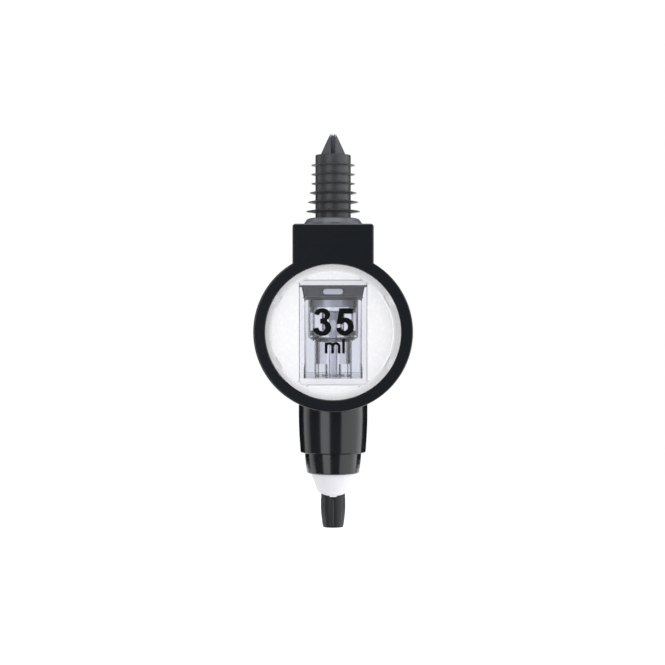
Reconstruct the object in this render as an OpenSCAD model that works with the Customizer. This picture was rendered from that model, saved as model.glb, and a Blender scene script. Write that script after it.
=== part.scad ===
// Push-up spirit measure that hangs in a bracket, under a bottle held upside down.
// Millimetres, +Z up, front towards -Y. The origin is the middle of the bracket pad,
// the flat rear face of the neck block. The modules are drawn about the valve axis,
// with z = 0 at the centre of the front ring, and in_frame() moves them.

/* [Measure] */
// Volume that one push gives, in millilitres
measure_ml = 35; // [25:1:50]
// Inner width of the measuring chamber
chamber_in_w = 27.4; // [26:0.2:30]
// Height of the chamber's inner floor, from the ring's centre
chamber_floor_z = -21.5; // [-22.5:0.5:-18.5]
// Height at which the chamber's mouth starts to flare for its plug
chamber_mouth_z = 16.6; // [16:0.2:18.4]
// Thickness of the chamber's side and rear walls
chamber_wall = 1.8; // [1.6:0.1:2.2]
// Thickness of the chamber's front pane
pane_t = 2.6; // [2.2:0.1:4]
// Depth of the bevelled panel in the front pane
panel_depth = 1.0; // [0.4:0.1:1.2]
// Thickness of the chamber's floor
floor_t = 2.7; // [2.4:0.1:3.2]
// Height of the rubber plug in the chamber's mouth
plug_h = 5.1; // [4:0.1:5.6]
// Height of the clear cap over the plug
cap_t = 2.2; // [2.1:0.1:3]
// Radius of the chamber's corners, seen from the front
chamber_corner = 2.0; // [1:0.1:2]

/* [Ring and drum] */
// Outer diameter of the front ring and drum
ring_d = 73.5; // [73:0.5:80]
// Width of the ring's front face, from its edge to its opening
ring_face_w = 5.5; // [5.1:0.1:6.2]
// Thickness of the drum's wall
drum_wall = 3.0; // [2.5:0.1:3.2]
// Thickness of the ring's front lip
lip_t = 1.5; // [1.2:0.1:3]
// Rounding of the ring's front edges
ring_edge = 0.7; // [0.3:0.1:1.1]
// Rounding of the rear cover's edge
cover_edge = 2.0; // [0.5:0.1:2.2]
// Thickness of the clear front lens
lens_t = 2.4; // [2:0.1:4]
// How far the lens's middle stands proud of its rim
lens_proud = 0.9; // [0.5:0.1:1.1]
// Thickness of the white face plate
face_t = 1.6; // [1.2:0.1:3]
// Thickness of the rear cover
cover_t = 3.0; // [2.8:0.1:5]
// Room round the chamber's back in the rear cover's sight window
sight_gap = 0.2; // [0.1:0.05:0.6]
// How far the lens lugs reach into their pockets in the face plate
lug_reach = 0.9; // [0.5:0.1:1]
// Length of each lens lug along the rim, in degrees
lug_spread = 10; // [6:1:14]
// Place of the lens lugs above and below the horizontal, in degrees
lug_angle = 29.5; // [24:0.5:36]

/* [Neck block] */
// Width of the neck block
neck_w = 37.4; // [37:0.2:42]
// Height of the neck block over the ring
neck_h = 13.15; // [12.5:0.05:20]
// Radius of the neck block's top corners
neck_corner = 1.5; // [0.5:0.1:3]
// Bevel along the neck block's front edges
neck_bevel = 0.5; // [0.2:0.1:1]
// How far the bracket pad stands behind the rear cover
pad_proud = 1.0; // [0.5:0.1:6]
// Height of the grooves for the bracket's fork
groove_h = 4.6; // [4.4:0.1:5]
// Depth of the grooves for the bracket's fork
groove_depth = 4.4; // [4.2:0.1:4.6]
// Length of the grooves for the bracket's fork
groove_len = 34; // [20:1:40]

/* [Cork and spike] */
// Diameter of the cork's core
cork_d = 16.8; // [16:0.2:20]
// Height of the cork
cork_h = 30.1; // [30:0.2:36]
// Diameter of the cork's three small fins
fin_d = 20.8; // [20.6:0.2:24]
// Growth in diameter from each lower fin to the next
fin_growth = 1.6; // [0.5:0.1:2]
// Distance from fin to fin
fin_pitch = 4.38; // [4:0.02:4.6]
// Distance from the cork's top to its first fin
fin_start = 4.8; // [3:0.2:6]
// Diameter of the cork flange
flange_d = 27.6; // [27.2:0.2:30]
// Height of the cork flange
flange_h = 4.0; // [3:0.2:6]
// Outer diameter of the inlet tube in the cork
inlet_d = 10.0; // [9.4:0.2:11]
// Wall of the inlet tube and of the spike's stem
inlet_wall = 1.2; // [1:0.1:1.5]
// Diameter of the spike's base
spike_d = 11.8; // [11.4:0.2:14]
// Diameter of the spike's tip
spike_tip_d = 3.6; // [3.2:0.2:5]
// Height of the spike over the cork
spike_h = 10.0; // [8:0.5:16]
// Width of the spike's flutes
flute_w = 2.2; // [1.4:0.1:2.6]
// Outer diameter of the breather tube
breather_d = 3.0; // [2.4:0.1:3.2]

/* [Valves] */
// Outer diameter of the column's wide upper part
column_wide_d = 23.9; // [23:0.1:24.2]
// Outer diameter of the column's narrow lower part
column_narrow_d = 17.8; // [17.4:0.1:18.4]
// Height of the column's outer step, from the ring's centre
column_step_z = -4.6; // [-6:0.2:-4]
// Outer diameter of the column's nozzle in the barrel
nozzle_d = 12.8; // [12.4:0.1:13]
// Diameter of the inlet piston
piston_d = 10.8; // [9:0.2:12]
// Travel after which the inlet is shut
inlet_lap = 2.0; // [1:0.1:3]
// Travel after which the outlet opens
outlet_lap = 2.5; // [2:0.1:2.8]
// Diameter of the outlet plug
outlet_plug_d = 8.8; // [8:0.2:9.4]
// Diameter of the spindle
spindle_d = 4.0; // [3:0.2:4.4]

/* [Barrel and plunger] */
// Outer diameter of the barrel
barrel_d = 32.6; // [32:0.2:38]
// Height of the barrel below the ring
barrel_h = 20.35; // [20.2:0.05:20.9]
// Draw-in of the barrel's diameter at its lower end
barrel_taper = 1.7; // [0.5:0.1:2]
// Outer diameter of the collar where it leaves the barrel
collar_d = 26.7; // [26.5:0.1:27]
// Draw-in of the collar's diameter at its lower end
collar_taper = 2; // [1.2:0.1:2.2]
// Wall of the collar's lower end, round the skirt
collar_wall = 1.65; // [1.45:0.05:1.75]
// Height of the collar below the barrel
collar_h = 9.8; // [9.6:0.2:12]
// Diameter of the white cone's lower end
cone_end_d = 15.2; // [14:0.2:17]
// Height of the white cone below the collar
cone_h = 10.3; // [9.2:0.1:12]
// Radius of the arc that trims the cone's lower end, seen from the front
cone_arc_r = 15; // [11:0.5:40]
// How far the cone's front tab stands below its end
tab_h = 0.4; // [0.2:0.1:3]
// Width of the cone's front tab
tab_w = 3.2; // [2:0.1:5]
// Outer diameter of the spout
spout_d = 11.4; // [10.8:0.1:11.8]
// Outer diameter of the spout's tip
spout_tip_d = 9.5; // [9:0.1:10.4]
// Bore of the spout
spout_bore = 7.6; // [6.6:0.2:8]
// Length of the spout below the cone
spout_h = 15.2; // [12:0.2:24]
// How far the plunger rises
travel = 8; // [5:0.5:8]

/* [Return spring] */
// Mean diameter of the spring
spring_d = 19.4; // [19.2:0.1:20]
// Diameter of the spring's wire
wire_d = 1.1; // [0.8:0.1:1.2]
// Number of turns of the spring
spring_turns = 5.5; // [4:0.5:5.5]

/* [Rear screws] */
// Diameter of the screws' shanks
screw_d = 2.5; // [2:0.1:3]
// Diameter of the screws' heads
screw_head_d = 5.0; // [4.4:0.1:5.4]
// Length of the screws under their heads
screw_len = 10; // [8:0.5:11]

/* [Fits] */
// Gap round a piece that is seated in another
seat_gap = 0.05; // [0.02:0.01:0.1]
// Gap round a piece that slides in another
slide_gap = 0.1; // [0.05:0.01:0.15]
// Gap round the chamber's front in the face plate
window_gap = 0.25; // [0.15:0.05:0.4]

/* [Hidden] */
$fn = 96;
past = 0.5; // how far a cutting shape runs past what it cuts

// ring and neck block
ring_bore = ring_d - 2 * ring_face_w;
neck_top_z = ring_d / 2 + neck_h;
barrel_end_z = -ring_d / 2 - barrel_h;

// chamber
chamber_out_w = chamber_in_w + 2 * chamber_wall;
chamber_bottom_z = chamber_floor_z - floor_t;
plug_top_z = chamber_mouth_z + plug_h;
cap_top_z = plug_top_z + cap_t;
chamber_mid_z = (cap_top_z + chamber_bottom_z) / 2;
cavity_corner = 1.5;
rim_wall = 0.8;
chamber_rim_w = 1.5;
pin_w = chamber_in_w / 3;
pin_h = 0.48 * plug_h;
pin_z = chamber_mouth_z + 0.42 * plug_h;
pin_y0 = -0.27;
pin_len = 1.6;

// O-rings, seated in the cap and in the floor
oring_wire = 1.8;
oring_seat = oring_wire + 2 * seat_gap;

// valve column, from its flange in the neck block to its nozzle in the barrel
washer_t = 1;
thread_h = 2.9;
column_wall = 1.8;
nozzle_wall = 1.4;
column_flange_d = column_wide_d + 2.6;
column_flange_t = 2;
column_top_z = neck_top_z - thread_h - washer_t;
upper_bore = column_wide_d - 2 * column_wall;
middle_bore = upper_bore - 1.9;
lower_bore = column_narrow_d - 3.4;
nozzle_bore = nozzle_d - 2 * nozzle_wall;
seat_shelf_z = 12;
inlet_seat_h = 7;
guide_z = column_step_z + 3;
guide_t = 2;
outlet_seat_h = 3;
outlet_seat_z = chamber_floor_z - 8.5;
column_bevel_h = 2.3;
inlet_port_z = 0.8;
inlet_port_h = 8.5;
inlet_port_w = 8;
outlet_port_h = 6;
outlet_port_w = 6;
barrel_roof_z = -ring_d / 2 - 1.75;
nozzle_end_z = barrel_roof_z - 11.5;

// valves, at rest
piston_top_z = seat_shelf_z - inlet_lap;
piston_h = 4;
outlet_head_z = outlet_seat_z + outlet_seat_h;
outlet_head_d = lower_bore - 1.4;
outlet_head_h = 2.5;

// depth of the cavity, from the volume and from what stands in the spirit
function disc(d) = PI * d * d / 4;
wide_len = chamber_mouth_z - column_step_z - column_bevel_h;
narrow_len = column_step_z + column_bevel_h - chamber_floor_z;
displaced = (disc(column_wide_d) - disc(middle_bore)) * wide_len
    + (disc(column_narrow_d) - disc(lower_bore)) * narrow_len
    + disc(upper_bore) * (chamber_mouth_z - seat_shelf_z)
    - disc(lower_bore) * (chamber_floor_z - outlet_head_z)
    + disc(spindle_d) * (piston_top_z - outlet_head_z)
    + disc(piston_d) * piston_h;
cavity_area = chamber_in_w * (chamber_mouth_z - chamber_floor_z);
cavity_depth = (measure_ml * 1000 + displaced) / cavity_area;
echo(cavity_depth = cavity_depth);

// places from front to back
cavity_y0 = -cavity_depth / 2;
cavity_y1 = cavity_depth / 2;
pane_y = cavity_y0 - pane_t;
lens_back_y = pane_y - 0.3;
lens_front_y = lens_back_y - lens_t;
front_y = lens_front_y - seat_gap - lip_t;
chamber_back_y = cavity_y1 + chamber_wall;
cover_y = chamber_back_y + seat_gap;
back_y = cover_y + cover_t;
pad_y = back_y + pad_proud;
pad_z = (ring_d / 2 + neck_top_z) / 2;
groove_z = pad_z - 2.6;

// drum, lens lugs and rear screws
drum_bore = ring_d - 2 * drum_wall;
lug_r1 = ring_bore / 2 - 0.85;
lug_r0 = lug_r1 - 1.8;
lens_step_r = ring_bore / 2 - 0.2;
lens_groove_r1 = lens_step_r - 1.85;
lens_groove_r0 = lens_groove_r1 - 1.7;
neck_foot_z = 0.3 * drum_bore; // inside the drum, where the hollow cuts it away
spigot_h = 2;
spigot_wall = 2.2;
boss_d = 6.4;
boss_len = 13;
boss_r = drum_bore / 2 - boss_d / 2 + 0.4;
boss_angle = 30;
boss_end_y = cover_y - spigot_h - 0.2;
head_h = 1.7;
head_seat_y = back_y - head_h - 0.2;

// barrel, collar and plunger
barrel_bore = collar_d + 0.5;
barrel_upper_bore = barrel_bore - 2.2;
barrel_straight = 3.4;
collar_top_z = barrel_end_z + 8;
collar_end_z = barrel_end_z - collar_h;
collar_end_d = collar_d - collar_taper;
skirt_d = collar_end_d - 2 * (collar_wall + slide_gap);
plunger_flange_d = skirt_d + 2.2;
plunger_flange_t = 1.2;
ledge_z = barrel_end_z - plunger_flange_t - 0.3;
tube_bore = nozzle_d + 0.6;
tube_d = tube_bore + 2.6;
tube_top_z = nozzle_end_z + 1.7;
hub_top_z = nozzle_end_z - travel - 0.5;
hub_h = 4;
hub_d = spindle_d + 4;
arm_w = 2;
nut_h = 2;
nut_d = spindle_d + 3;
funnel_top_z = hub_top_z - hub_h - 0.5;
socket_top_z = funnel_top_z - 3.5;
cone_end_z = collar_end_z - cone_h;
spout_end_z = cone_end_z - spout_h;
spindle_end_z = hub_top_z - hub_h - nut_h - 0.4;

// cork and spike
cork_z = neck_top_z + flange_h;
cork_foot_z = cork_z - 0.5; // in a shallow recess of the flange
cork_top_z = cork_z + cork_h;
stem_z = cork_top_z - 10;
inlet_bore = inlet_d - 2 * inlet_wall;
fins = 6;
small_fins = 3;
breather_foot_z = seat_shelf_z + inlet_seat_h + 5;
breather_socket = 2.6;

// spring, between its washer and the plunger's flange
spring_washer_t = 1;
coil_end_gap = 0.1 + wire_d / 2;
coil_top_z = barrel_roof_z - spring_washer_t - coil_end_gap;
coil_bottom_z = barrel_end_z + coil_end_gap;
coil_pitch = (coil_top_z - coil_bottom_z) / spring_turns;
coil_rings = 8;
wire_sides = 6;
echo(least_coil_gap = coil_pitch - wire_d);

// ---- shared shapes

function arc(cx, cy, r, from, to, steps = 5) =
    [for (i = [0:steps]) let (a = from + (to - from) * i / steps)
        [cx + r * cos(a), cy + r * sin(a)]];

// moves a piece from the valve axis into the part's own frame
module in_frame() {
    translate([0, -pad_y, -pad_z]) children();
}

// turns a profile of [radius, z] points about the valve axis
module turned(points) {
    rotate_extrude() polygon(points);
}

// turns a profile of [radius, y] points about the ring's axis
module turned_y(points) {
    rotate([90, 0, 0]) rotate_extrude() polygon([for (p = points) [p[0], -p[1]]]);
}

// extrudes a flat shape, drawn in x and z, from y0 to y1
module along_y(y0, y1) {
    translate([0, y1, 0]) rotate([90, 0, 0]) linear_extrude(y1 - y0) children();
}

module rod(d, z0, z1) {
    translate([0, 0, z0]) cylinder(d = d, h = z1 - z0);
}

module rod_y(d, y0, y1) {
    translate([0, y1, 0]) rotate([90, 0, 0]) cylinder(d = d, h = y1 - y0);
}

module tube(outer_d, inner_d, z0, z1) {
    difference() {
        rod(outer_d, z0, z1);
        rod(inner_d, z0 - past, z1 + past);
    }
}

module rounded_rect(w, h, r) {
    square([w - 2 * r, h], center = true);
    square([w, h - 2 * r], center = true);
    for (sx = [-1, 1], sy = [-1, 1])
        translate([sx * (w / 2 - r), sy * (h / 2 - r)]) circle(r);
}

// part of a ring about the ring's axis, centred on an angle above +X
module arc_bar(r0, r1, angle, spread, y0, y1) {
    translate([0, y1, 0]) rotate([90, 0, 0]) rotate([0, 0, angle - spread / 2])
        rotate_extrude(angle = spread) translate([r0, 0]) square([r1 - r0, y1 - y0]);
}

module at_screws() {
    for (a = [boss_angle, 180 - boss_angle, 180 + boss_angle, 360 - boss_angle])
        translate([boss_r * cos(a), 0, boss_r * sin(a)]) children();
}

function lug_angles() = [lug_angle, 180 - lug_angle, 180 + lug_angle, 360 - lug_angle];

// three arms from a hub to a wall
module spider(hub_d, wall_d, width, z0, z1) {
    rod(hub_d, z0, z1);
    for (a = [30:120:270]) rotate([0, 0, a])
        translate([0, -width / 2, z0]) cube([wall_d / 2, width, z1 - z0]);
}

// ---- cork and spike

module pourer_spike() {
    tip_z = cork_top_z + spike_h;
    floor_r = spike_d / 4 + 0.1;
    floor_tip_r = spike_tip_d / 5;
    floor_tilt = atan((floor_r - floor_tip_r) / spike_h);
    color("#4a4c50") in_frame() difference() {
        turned([[0, stem_z], [inlet_d / 2, stem_z], [inlet_d / 2, cork_top_z],
            [spike_d / 2, cork_top_z], [spike_d / 2, cork_top_z + 0.4],
            [spike_tip_d / 2, tip_z - 0.3], [spike_tip_d / 2 - 0.3, tip_z], [0, tip_z]]);
        rod(inlet_bore, stem_z - past, cork_top_z);
        rod(breather_d + 2 * seat_gap, cork_top_z - past, cork_top_z + breather_socket);
        for (a = [0:90:270]) rotate([0, 0, a])
            translate([0, -floor_r, cork_top_z]) rotate([-floor_tilt, 0, 0])
                translate([-flute_w / 2, -spike_d, -2]) cube([flute_w, spike_d, 2 * spike_h]);
        translate([-0.4, -spike_d, tip_z - 0.6]) cube([0.8, 2 * spike_d, 2]);
    }
}

module cork() {
    core_r = cork_d / 2;
    color("#45474a") in_frame() difference() {
        union() {
            turned([[0, cork_foot_z], [core_r, cork_foot_z], [core_r, cork_top_z - 0.4],
                [core_r - 0.2, cork_top_z], [0, cork_top_z]]);
            for (i = [0:fins - 1]) {
                grown = max(0, i - small_fins + 1);
                root = i < small_fins ? 0.5 : 0.85;
                fin_r = fin_d / 2 + grown * fin_growth / 2;
                translate([0, 0, cork_top_z - fin_start - i * fin_pitch])
                    turned([[core_r - 1, -root], [core_r, -root], [fin_r - 0.2, -0.15],
                        [fin_r, 0], [fin_r - 0.2, 0.15], [core_r, root], [core_r - 1, root]]);
            }
        }
        rod(inlet_d + 2 * seat_gap, cork_foot_z - past, cork_top_z + past);
    }
}

module breather_tube() {
    color("silver") in_frame()
        tube(breather_d, breather_d - 1, breather_foot_z, cork_top_z + breather_socket - seat_gap);
}

// flange under the cork, with the inlet tube above it and the tail that holds the inlet seat
module cork_flange() {
    r = flange_d / 2;
    tail_r = upper_bore / 2 - slide_gap;
    tail_z = seat_shelf_z + inlet_seat_h + seat_gap;
    washer_top_z = column_top_z + washer_t;
    color("#3a3c40") in_frame() difference() {
        turned([[0, tail_z], [tail_r, tail_z], [tail_r, washer_top_z],
            [column_flange_d / 2, washer_top_z], [column_flange_d / 2, neck_top_z],
            [r, neck_top_z], [r, neck_top_z + 0.42 * flange_h],
            [r - 1.4, cork_z - 0.4], [r - 2.2, cork_z], [cork_d / 2 + seat_gap, cork_z],
            [cork_d / 2 + seat_gap, cork_foot_z], [inlet_d / 2, cork_foot_z],
            [inlet_d / 2, stem_z], [0, stem_z]]);
        turned([[0, tail_z - past], [tail_r - 1.6, tail_z - past], [tail_r - 1.6, column_top_z - 4],
            [inlet_bore / 2, neck_top_z - 2], [inlet_bore / 2, stem_z + past], [0, stem_z + past]]);
    }
}

module flange_washer() {
    color("#303234") in_frame()
        tube(column_flange_d, upper_bore, column_top_z, column_top_z + washer_t);
}

// ---- body and drum

// block from the drum up to the cork flange, with bevels along its front edges
module neck_block() {
    h = neck_top_z - neck_foot_z;
    difference() {
        along_y(front_y, pad_y) translate([0, neck_foot_z + h / 2])
            rounded_rect(neck_w, h, neck_corner);
        translate([0, front_y, neck_top_z]) rotate([45, 0, 0])
            cube([neck_w + 2, neck_bevel * sqrt(2), neck_bevel * sqrt(2)], center = true);
        for (side = [-1, 1])
            translate([side * neck_w / 2, front_y, neck_foot_z + h / 2]) rotate([0, 0, 45])
                cube([neck_bevel * sqrt(2), neck_bevel * sqrt(2), h + 2], center = true);
    }
}

// barrel's outside: straight at first, then drawn in along a curve
module barrel_blank() {
    side_r = (barrel_d - barrel_taper) / 2;
    straight_end_z = -ring_d / 2 - barrel_straight;
    curve_h = straight_end_z - barrel_end_z - 0.5;
    steps = 7;
    turned(concat([[0, -0.37 * drum_bore], [barrel_d / 2, -0.37 * drum_bore]],
        [for (i = [0:steps]) let (t = i / steps)
            [barrel_d / 2 - barrel_taper / 2 * pow(t, 1.6), straight_end_z - curve_h * t]],
        [[side_r - 0.15, barrel_end_z + 0.15], [side_r - 0.5, barrel_end_z], [0, barrel_end_z]]));
}

// ribs in the drum that carry the chamber from below and hold its cap from above
module cradle_ribs() {
    rib_len = 0.7 * cavity_depth;
    foot = drum_bore / 2 - 1.2;
    head = drum_bore / 2 - 2.6;
    for (side = [-1, 1]) {
        translate([side * (chamber_out_w / 2 - 2.5) - 1, -rib_len / 2, -foot])
            cube([2, rib_len, foot + chamber_bottom_z - seat_gap]);
        translate([side * (chamber_out_w / 2 - 0.7) - 0.6, -rib_len / 2, cap_top_z + seat_gap])
            cube([1.2, rib_len, head - cap_top_z - seat_gap]);
    }
}

module body() {
    r = ring_d / 2;
    lip_r = ring_bore / 2;
    edge = ring_edge / 2;
    color("#1b1e21") in_frame() difference() {
        union() {
            difference() {
                union() {
                    turned_y(concat([[0, cover_y], [r, cover_y]],
                        arc(r - ring_edge, front_y + ring_edge, ring_edge, 0, -90),
                        [[0, front_y]]));
                    neck_block();
                    barrel_blank();
                }
                // drum's hollow, open at the back, and the opening of the ring
                rod_y(drum_bore, lens_front_y - seat_gap, pad_y + past);
                turned_y([[0, front_y - past], [lip_r + edge, front_y - past],
                    [lip_r + edge, front_y], [lip_r, front_y + edge],
                    [lip_r, lens_front_y + past], [0, lens_front_y + past]]);
                // room for the rear cover below the neck block
                rod_y(ring_d + 2 * seat_gap, cover_y, pad_y + past);
            }
            cradle_ribs();
            at_screws() rod_y(boss_d, boss_end_y - boss_len, boss_end_y);
        }
        at_screws() rod_y(screw_d + 2 * seat_gap, boss_end_y - boss_len + 1, boss_end_y + past);
        // bore for the valve column and its flange
        rod(column_wide_d + 2 * slide_gap, cap_top_z + 5, neck_top_z + past);
        rod(column_flange_d + 2 * slide_gap, column_top_z - column_flange_t, neck_top_z + past);
        // grooves for the bracket's fork
        for (side = [-1, 1])
            translate([side * (neck_w - groove_depth + past) / 2, pad_y + (past - groove_len) / 2, groove_z])
                cube([groove_depth + past, groove_len + past, groove_h], center = true);
        // way out for the column, and the barrel's bores
        rod(column_narrow_d + 2 * slide_gap, barrel_roof_z - past, chamber_bottom_z - 2);
        rod(barrel_upper_bore, barrel_end_z, barrel_roof_z);
        rod(barrel_bore, barrel_end_z - past, collar_top_z + seat_gap);
    }
}

module rear_cover() {
    r = ring_d / 2;
    spigot_d = drum_bore - 2 * slide_gap;
    color("#1b1e21") in_frame() difference() {
        union() {
            turned_y(concat([[0, cover_y], [r, cover_y]],
                arc(r - cover_edge, back_y - cover_edge, cover_edge, 0, 90), [[0, back_y]]));
            difference() {
                rod_y(spigot_d, cover_y - spigot_h, cover_y + 1);
                rod_y(spigot_d - 2 * spigot_wall, cover_y - spigot_h - past, cover_y + 1 + past);
            }
        }
        along_y(cover_y - past, back_y + past) chamber_outline(sight_gap);
        at_screws() {
            rod_y(screw_d + 0.4, cover_y - spigot_h - past, back_y + past);
            rod_y(screw_head_d + 0.4, head_seat_y, back_y + past);
        }
    }
}

module cover_screws() {
    slot_w = 0.8;
    head_y = head_seat_y + head_h;
    color("#8a8c90") in_frame() at_screws() difference() {
        union() {
            rod_y(screw_head_d, head_seat_y, head_y);
            rod_y(screw_d, head_seat_y - screw_len, head_seat_y + 0.2);
        }
        translate([0, head_y, 0]) for (a = [0, 90]) rotate([0, a, 0])
            cube([2.8, 1.8, slot_w], center = true);
    }
}

module lens() {
    rim_r = drum_bore / 2 - slide_gap;
    step_r = lens_step_r;
    proud_y = lens_front_y - lens_proud;
    groove_y = proud_y + 0.3;
    color("white", 0.35) in_frame() {
        turned_y([[0, lens_back_y], [rim_r, lens_back_y], [rim_r, lens_front_y],
            [step_r, lens_front_y], [step_r, groove_y], [step_r - 0.3, proud_y],
            [lens_groove_r1, proud_y], [lens_groove_r1 - 0.4, groove_y],
            [lens_groove_r0 + 0.4, groove_y], [lens_groove_r0, proud_y], [0, proud_y]]);
        for (a = lug_angles())
            arc_bar(lug_r0, lug_r1, a, lug_spread, lens_back_y - past, pane_y + lug_reach);
    }
}

module face_plate() {
    opening_h = cap_top_z - chamber_bottom_z + 2 * window_gap;
    color("white") in_frame() difference() {
        rod_y(drum_bore - 2 * slide_gap, pane_y, pane_y + face_t);
        along_y(pane_y - past, pane_y + face_t + past) translate([0, chamber_mid_z])
            rounded_rect(chamber_out_w + 2 * window_gap, opening_h, chamber_corner + window_gap);
        for (a = lug_angles())
            arc_bar(lug_r0 - 0.3, lug_r1 + 0.3, a, lug_spread + 1.4, pane_y - past, pane_y + lug_reach + 0.2);
    }
}

// ---- measuring chamber

// outline of the closed chamber, seen from the front
module chamber_outline(grow = 0) {
    translate([0, chamber_mid_z]) rounded_rect(chamber_out_w + 2 * grow,
        cap_top_z - chamber_bottom_z + 2 * grow, chamber_corner + grow);
}

// everything between two heights, as deep as the chamber
module slab(z0, z1) {
    translate([-chamber_out_w, pane_y - past, z0])
        cube([2 * chamber_out_w, chamber_back_y - pane_y + 2 * past, z1 - z0]);
}

// long round-ended shape in x and z
module stadium_y(w, h, y0, y1) {
    for (side = [-1, 1]) translate([side * (w - h) / 2, 0, 0]) rod_y(h, y0, y1);
    translate([-(w - h) / 2, y0, -h / 2]) cube([w - h, y1 - y0, h]);
}

// wedge that fills the chamber's flared mouth, less a gap all round
module mouth_wedge(gap, z0, z1) {
    flare_w = chamber_out_w - 2 * rim_wall - chamber_in_w;
    y_front = pane_y + rim_wall - cavity_y0;
    y_back = chamber_back_y - rim_wall - cavity_y1;
    hull() for (z = [z0, z1]) {
        t = (z - chamber_mouth_z) / plug_h;
        translate([0, t * (y_front + y_back) / 2, z])
            linear_extrude(0.01) rounded_rect(chamber_in_w + t * flare_w - 2 * gap,
                cavity_depth + t * (y_back - y_front) - 2 * gap, cavity_corner, $fn = 32);
    }
}

module chamber() {
    panel_w = chamber_out_w - 5;
    panel_z0 = chamber_floor_z + 6.8;
    panel_z1 = chamber_mouth_z - 1.7;
    color("#cfd3df", 0.5) in_frame() difference() {
        union() {
            along_y(pane_y, chamber_back_y) chamber_outline();
            along_y(pane_y + face_t + seat_gap, pane_y + face_t + 1.5) chamber_outline(chamber_rim_w);
        }
        slab(plug_top_z, cap_top_z + chamber_rim_w + past);
        translate([0, 0, chamber_floor_z])
            linear_extrude(chamber_mouth_z - chamber_floor_z + 0.02)
                rounded_rect(chamber_in_w, cavity_depth, cavity_corner);
        mouth_wedge(0, chamber_mouth_z, plug_top_z + 0.02);
        // bevelled panel in the front pane
        hull() {
            along_y(pane_y - 0.02, pane_y - 0.01) translate([0, (panel_z0 + panel_z1 - 6.8) / 2])
                rounded_rect(panel_w + 3.6, panel_z1 - panel_z0 + 9.8, 1.6, $fn = 32);
            along_y(pane_y, pane_y + panel_depth) translate([0, (panel_z0 + panel_z1) / 2])
                rounded_rect(panel_w, panel_z1 - panel_z0, 1, $fn = 32);
        }
        rod(column_narrow_d + 2 * slide_gap, chamber_bottom_z - past, chamber_floor_z + past);
        rod(column_narrow_d + 2 * oring_seat, chamber_bottom_z - past, chamber_bottom_z + oring_wire - 0.1);
    }
}

module chamber_plug() {
    color("#55575b") in_frame() difference() {
        mouth_wedge(seat_gap, chamber_mouth_z, plug_top_z - 0.01);
        rod(column_wide_d + 2 * slide_gap, chamber_mouth_z - past, plug_top_z + past);
        // slot for the pin in the front of the wedge
        translate([0, 0, pin_z]) stadium_y(pin_w + 2 * seat_gap, pin_h + 2 * seat_gap,
            pane_y, cavity_y0 + pin_y0 + pin_len);
    }
}

module plug_pin() {
    y0 = cavity_y0 + pin_y0;
    color("#cdd0da") in_frame() translate([0, 0, pin_z])
        stadium_y(pin_w, pin_h, y0, y0 + pin_len);
}

module chamber_cap() {
    color("#dfe2ea", 0.5) in_frame() difference() {
        intersection() {
            along_y(pane_y, chamber_back_y) chamber_outline();
            slab(plug_top_z, cap_top_z + past);
        }
        rod(column_wide_d + 2 * slide_gap, plug_top_z - past, cap_top_z + past);
        rod(column_wide_d + 2 * oring_seat, cap_top_z - oring_wire + 0.1, cap_top_z + past);
    }
}

module oring(column_d, z) {
    color("#d2d4d6") in_frame() translate([0, 0, z]) rotate_extrude()
        translate([column_d / 2 + oring_seat / 2, 0]) circle(d = oring_wire, $fn = 32);
}

module upper_oring() {
    oring(column_wide_d, cap_top_z - oring_wire / 2 + 0.1 + seat_gap);
}

module lower_oring() {
    oring(column_narrow_d, chamber_bottom_z + oring_wire / 2 - 0.1 - seat_gap);
}

// ---- valves

// stepped tube with its ports, from the neck block through the chamber into the barrel
module valve_column() {
    wide_r = column_wide_d / 2;
    narrow_r = column_narrow_d / 2;
    color("#e6e8ee", 0.4) in_frame() difference() {
        turned([[0, column_top_z], [column_flange_d / 2, column_top_z],
            [column_flange_d / 2, column_top_z - column_flange_t],
            [wide_r, column_top_z - column_flange_t],
            [wide_r, column_step_z + column_bevel_h], [narrow_r, column_step_z],
            [narrow_r, barrel_roof_z], [nozzle_d / 2, barrel_roof_z],
            [nozzle_d / 2, nozzle_end_z + 0.4], [nozzle_d / 2 - 0.3, nozzle_end_z], [0, nozzle_end_z]]);
        rod(upper_bore, seat_shelf_z, column_top_z + past);
        rod(middle_bore, guide_z, column_top_z);
        rod(lower_bore, outlet_seat_z, column_top_z);
        rod(nozzle_bore, nozzle_end_z - past, column_top_z);
        for (a = [45:90:315]) rotate([0, 0, a]) {
            translate([0, -inlet_port_w / 2, inlet_port_z])
                cube([column_wide_d, inlet_port_w, inlet_port_h]);
            translate([0, -outlet_port_w / 2, chamber_floor_z + 0.2])
                cube([column_wide_d, outlet_port_w, outlet_port_h]);
        }
    }
}

module inlet_seat() {
    bore_r = piston_d / 2 + slide_gap;
    outer_r = upper_bore / 2 - seat_gap;
    top_z = seat_shelf_z + inlet_seat_h;
    color("#f1f1ee") in_frame() turned([[bore_r, seat_shelf_z], [outer_r, seat_shelf_z],
        [outer_r, top_z], [bore_r + 1.5, top_z], [bore_r, top_z - 1.5]]);
}

module spindle_guide() {
    outer_d = middle_bore - 2 * seat_gap;
    color("#f1f1ee") in_frame() difference() {
        union() {
            tube(outer_d, outer_d - 2.4, guide_z, guide_z + guide_t);
            spider(7, outer_d - 1, 1.6, guide_z, guide_z + guide_t);
        }
        rod(spindle_d + 2 * slide_gap, guide_z - past, guide_z + guide_t + past);
    }
}

module outlet_seat() {
    color("#3c3e42") in_frame() tube(lower_bore - 2 * seat_gap,
        outlet_plug_d + 2 * slide_gap, outlet_seat_z, outlet_head_z);
}

module spindle() {
    color("#eceff2") in_frame() rod(spindle_d, spindle_end_z, piston_top_z - 1);
}

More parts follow.
